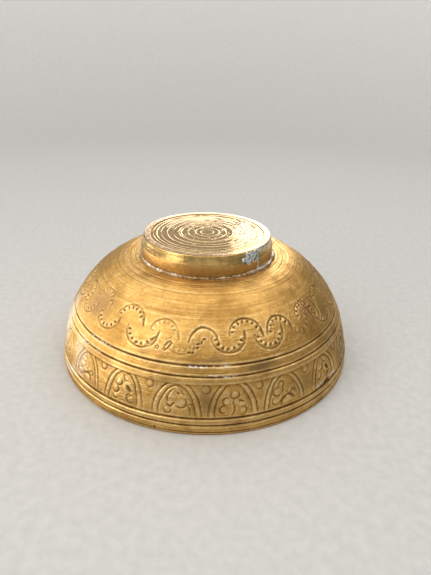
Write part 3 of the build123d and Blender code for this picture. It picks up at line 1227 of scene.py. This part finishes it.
def makeFootMaterial():
    material, tree, shader, place = startMaterial("aged_foot_brass")
    clouds = placeGroup(tree, cloudGroup, place, Broad=45.0, Fine=260.0)
    lathe = placeGroup(tree, latheGroup, place, Density=1700.0, Break=1.6)
    scratches = placeGroup(tree, scratchGroup, place, Scale=110.0)
    finish = footFinish
    height = wire(tree, "SeparateXYZ", Vector=place).outputs[2]
    lip = remap(tree, height, (lipHeight - 0.25) * mm, (lipHeight - 0.08) * mm)
    # darker towards the crown: painted shade on the lower wall, here and in the age and tone below
    low = remap(tree, height, (lipHeight - 3.8) * mm, (crownHeight + 0.5) * mm)
    mottle = placeGroup(tree, cloudGroup, place, Broad=120.0, Fine=700.0)
    age = plus(tree, times(tree, clouds["Broad"], 0.40), times(tree, clouds["Fine"], 0.30))
    age = plus(tree, age, times(tree, low, 0.30), clamp=True)
    tone = mixColour(tree, age, finish["bright"], finish["aged"])
    tone = tint(tree, tone, finish["low"], low, 0.15)
    tone = tint(tree, tone, finish["low"], mottle["Broad"], 0.38)
    tone = tint(tree, tone, finish["low"], mottle["Fine"], 0.40)
    tone = tint(tree, tone, finish["grey"], lathe["Mask"], 0.12)
    # the bevel is tinted toward the bright worn colour all round: partly rubbed wear, partly a painted
    # highlight
    edge = remap(tree, height, (lipHeight - 4.0) * mm, (lipHeight - 2.6) * mm)
    shine = times(tree, edge, remap(tree, clouds["Fine"], 0.9, 0.3, 0.1, 0.8))
    tone = mixColour(tree, shine, tone, finish["worn"])
    tone = tint(tree, tone, finish["low"], lip, 0.88)
    tone = tint(tree, tone, finish["low"], scratches["Pits"], 0.6)
    rough = remap(tree, age, 0.0, 1.0, 0.22, 0.46)
    rough = times(tree, rough, remap(tree, edge, 0.0, 1.0, 1.0, 0.62))
    rough = times(tree, rough, remap(tree, lip, 0.0, 1.0, 1.0, 0.45))
    calm = remap(tree, edge, 0.0, 1.0, 0.6, 0.22)  # the bevel is worn smooth and the lip flat
    calm = times(tree, calm, remap(tree, lip, 0.0, 1.0, 1.0, 0.10))
    settle(tree, shader, tone, rough, 1.0, (
        (lathe["Height"], 0.12, calm),
        (clouds["Fine"], 0.16, calm),
        (mottle["Fine"], 0.06, calm),
        (scratches["Lines"], -0.02, 0.3),
    ))
    return material


discFinish = {
    "bright": colour(0.58, 0.38, 0.14),
    "aged": colour(0.38, 0.22, 0.075),
    "hollow": colour(0.13, 0.072, 0.024),
    "worn": colour(0.76, 0.57, 0.29),
    "edgeTint": colour(1.0, 0.97, 0.90),
    "roughness": (0.05, 0.085),
}


def makeDiscMaterial():
    material, tree, shader, place = startMaterial("turned_disc_brass")
    clouds = placeGroup(tree, cloudGroup, place, Broad=55.0, Fine=420.0)
    lathe = placeGroup(tree, latheGroup, place, Density=2600.0, Break=0.6)
    finish = discFinish
    height = wire(tree, "SeparateXYZ", Vector=place).outputs[2]
    ridge = remap(tree, height, (lipHeight - 0.34) * mm, (lipHeight - 0.16) * mm)
    age = plus(tree, times(tree, clouds["Broad"], 0.35), times(tree, lathe["Height"], 0.45), clamp=True)
    tone = mixColour(tree, age, finish["bright"], finish["aged"])
    hollow = times(tree, maths(tree, "SUBTRACT", 1.0, ridge, clamp=True), 0.8)
    tone = mixColour(tree, hollow, tone, finish["hollow"])
    tone = tint(tree, tone, finish["worn"], remap(tree, ridge, 0.5, 1.0), 0.6)
    rough = remap(tree, age, 0.0, 1.0, *finish["roughness"])
    shader.inputs["Specular Tint"].default_value = finish["edgeTint"]
    settle(tree, shader, tone, rough, 1.0, ((lathe["Height"], 0.004, 0.5), (clouds["Fine"], 0.002, 0.4)))
    return material


def makeSolderMaterial(name, finish):
    material, tree, shader, place = startMaterial(name)
    clouds = placeGroup(tree, cloudGroup, place, Broad=finish["patches"], Fine=900.0)
    grain = placeGroup(tree, cloudGroup, place, Broad=420.0, Fine=2400.0)
    cover = times(tree, clouds["Broad"], finish["tarnished"])
    cover = plus(tree, cover, times(tree, grain["Broad"], 0.45), clamp=True)
    tone = mixColour(tree, cover, finish["light"], finish["tarnish"])
    specks = times(tree, remap(tree, clouds["Fine"], 0.45, 0.75), finish["specks"])
    tone = mixColour(tree, specks, tone, finish["dark"])
    rough = remap(tree, cover, 0.0, 1.0, *finish["roughness"])
    metal = remap(tree, cover, 0.2, 1.0, 1.0, 0.6)
    settle(tree, shader, tone, rough, metal, (
        (grain["Broad"], 0.25, 0.8),
        (clouds["Fine"], 0.14, 0.8),
        (grain["Fine"], 0.04, 0.5),
    ))
    return material


seamFinish = {
    "light": colour(0.96, 0.93, 0.86),
    "tarnish": colour(0.38, 0.23, 0.09),
    "tarnished": 1.15,
    "dark": colour(0.13, 0.08, 0.035),
    "specks": 0.7,
    "patches": 95.0,
    "roughness": (0.16, 0.42),
}
patchFinish = {
    "light": colour(0.97, 0.96, 0.92),
    "tarnish": colour(0.42, 0.52, 0.46),
    "tarnished": 0.42,
    "dark": colour(0.045, 0.040, 0.025),
    "specks": 0.95,
    "patches": 240.0,
    "roughness": (0.20, 0.50),
}

bowl.data.materials.append(makeBowlMaterial())
footRing.data.materials.append(makeFootMaterial())
footDisc.data.materials.append(makeDiscMaterial())
solderSeam.data.materials.append(makeSolderMaterial("seam_solder_grey", seamFinish))
repairPatch.data.materials.append(makeSolderMaterial("repair_solder_green", patchFinish))
print("finishes made")

# Studio: pale floor, soft lights, camera

studio = {
    "floorColour": colour(0.60, 0.59, 0.565),
    "floorShade": colour(0.535, 0.53, 0.51),
    "floorSize": 3.0,
    "sweepStart": 0.55,  # where the paper backdrop begins to curve up, all round
    "sweepRadius": 0.50,
    "sweepHeight": 2.2,
    "sweepGlow": 0.30,
    "worldColour": colour(0.55, 0.56, 0.58),
    "worldStrength": 0.35,
}

lights = {  # direction it comes from, distance, size, brightness, tint
    "windowKey": ((-0.70, -0.53, 0.40), 0.62, (0.28, 0.52), 2.5, (1.0, 0.97, 0.92)),
    "leftWall": ((-1.0, 0.10, 0.46), 0.90, (1.3, 0.5), 1.60, (1.0, 0.98, 0.94)),
    "leftCard": ((-0.93, -0.13, -0.33), 0.137, (0.17, 0.045), 2.7, (1.0, 0.97, 0.92)),
    "frontSoft": ((0.10, -1.0, 0.36), 0.95, (1.1, 0.42), 0.42, (1.0, 0.97, 0.92)),
    "overheadSoft": ((0.0, 0.06, 1.0), 0.80, (1.9, 1.7), 1.35, (1.0, 0.98, 0.95)),
    "rightSoft": ((1.0, -0.35, 1.15), 0.90, (0.8, 0.6), 0.50, (1.0, 0.98, 0.95)),
    "backGlare": ((0.0, 0.9715, 0.2368), 0.80, (0.46, 0.141), 5.2, (1.0, 1.0, 1.0)),
    "backSoft": ((0.0, 0.899, 0.438), 0.80, (0.90, 0.18), 0.70, (1.0, 0.98, 0.95)),
    "backGlareRight": ((0.2175, 0.9201, 0.3256), 0.80, (0.268, 0.25), 4.5, (1.0, 1.0, 1.0)),
}
# these shine on the bowl alone
unlitFloor = ("leftWall", "leftCard", "backSoft", "backGlare", "backGlareRight")
discFill = {  # soft walls at the sides and the front that only the disc mirrors
    "sides": ((-1.0, 0.0), (1.0, 0.0), (0.0, -1.0)),
    "rise": 0.45,
    "distance": 0.80,
    "size": (1.55, 0.60),
    "brightness": 0.75,
    "tint": (1.0, 0.98, 0.95),
}

camera = {
    "place": (4.19, -200.59, 128.39),  # millimetres
    "pitch": 26.62,  # degrees below the horizon
    "roll": 1.463,
    "lens": 30.75,
}


def makePaper(name, glow):
    # plain pale backdrop paper, with a glow that grows with height where it is asked for
    material, tree, shader, place = startMaterial(name)
    noise = wire(tree, "TexNoise", Vector=place, Scale=300.0, Detail=3.0)
    shade = remap(tree, noise.outputs[0], 0.3, 0.7)
    tone = mixColour(tree, shade, studio["floorShade"], studio["floorColour"])
    tree.links.new(tone, shader.inputs["Base Color"])
    shader.inputs["Roughness"].default_value = 0.9
    if glow:
        height = wire(tree, "SeparateXYZ", Vector=place).outputs[2]
        rise = remap(tree, height, 0.0, 0.45)
        glowing = mixColour(tree, rise, colour(0, 0, 0), colour(1.0, 0.99, 0.96))
        tree.links.new(glowing, shader.inputs["Emission Color"])
        shader.inputs["Emission Strength"].default_value = glow
    return material


def makeFloor():
    size = studio["floorSize"]
    corners = [(-size, -size, 0), (size, -size, 0), (size, size, 0), (-size, size, 0)]
    floor = makePiece("studio_floor", corners, [(0, 1, 2, 3)])
    floor.data.materials.append(makePaper("floor_paper", 0))


def makeSweep():
    # the paper curves up all round, and only the camera sees it, so it changes no reflection
    radii, heights = [], []
    for angle in np.linspace(0, math.pi / 2, 25):
        radii.append(studio["sweepStart"] + studio["sweepRadius"] * math.sin(angle))
        heights.append(0.0004 + studio["sweepRadius"] * (1 - math.cos(angle)))
    radii.append(radii[-1])
    heights.append(studio["sweepHeight"])
    columns = 96
    vertices = turnedRings(radii, heights, columns) / mm
    sweep = makePiece("studio_sweep", vertices, ringFaces(0, len(radii), columns))
    sweep.data.flip_normals()
    sweep.data.materials.append(makePaper("sweep_paper", studio["sweepGlow"]))
    sweep.visible_diffuse = False
    sweep.visible_glossy = False
    sweep.visible_shadow = False


def makeWorld():
    world = bpy.data.worlds.new("studio_air")
    world.use_nodes = True
    background = world.node_tree.nodes["Background"]
    background.inputs["Color"].default_value = studio["worldColour"]
    background.inputs["Strength"].default_value = studio["worldStrength"]
    bpy.context.scene.world = world


def makeLight(name, direction, distance, size, brightness, tint, only=None):
    data = bpy.data.lights.new(name, "AREA")
    data.shape = "RECTANGLE"
    data.size, data.size_y = size
    data.energy = brightness * math.pi * size[0] * size[1]
    data.color = tint
    lamp = bpy.data.objects.new(name, data)
    target = Vector((0, 0, lipHeight * mm))
    aim = Vector(direction).normalized()
    lamp.location = target + aim * distance
    lamp.rotation_euler = aim.to_track_quat("Z", "Y").to_euler()
    lamp.visible_camera = False
    bpy.context.scene.collection.objects.link(lamp)
    if only:
        lamp.light_linking.receiver_collection = only


def makeCamera():
    data = bpy.data.cameras.new("viewpoint")
    data.lens = camera["lens"]
    data.sensor_width = 36.0
    data.clip_start = 0.005
    view = bpy.data.objects.new("viewpoint", data)
    view.location = Vector(camera["place"]) * mm
    view.rotation_mode = "YXZ"
    pitch = math.radians(90 - camera["pitch"])
    level = Vector((1, 0, 0))
    ahead = Vector((0, math.sin(pitch), -math.cos(pitch)))
    above = level.cross(ahead)
    roll = math.radians(camera["roll"])
    right = level * math.cos(roll) + above * math.sin(roll)
    up = above * math.cos(roll) - level * math.sin(roll)
    back = -ahead
    view.matrix_world = Matrix((
        (right.x, up.x, back.x, view.location.x),
        (right.y, up.y, back.y, view.location.y),
        (right.z, up.z, back.z, view.location.z),
        (0, 0, 0, 1),
    ))
    bpy.context.scene.collection.objects.link(view)
    bpy.context.scene.camera = view


bowlPieces = bpy.data.collections.new("bowl_pieces")
for piece in (bowl, footRing, footDisc, solderSeam, repairPatch):
    bowlPieces.objects.link(piece)
makeFloor()
makeSweep()
makeWorld()
for name, values in lights.items():
    makeLight(name, *values, only=bowlPieces if name in unlitFloor else None)
discPieces = bpy.data.collections.new("disc_pieces")
discPieces.objects.link(footDisc)
for index, (x, y) in enumerate(discFill["sides"]):
    makeLight("discFill" + str(index), (x, y, discFill["rise"]), discFill["distance"],
              discFill["size"], discFill["brightness"], discFill["tint"], only=discPieces)
makeCamera()
bpy.context.scene.view_settings.view_transform = "Standard"
print("studio set")
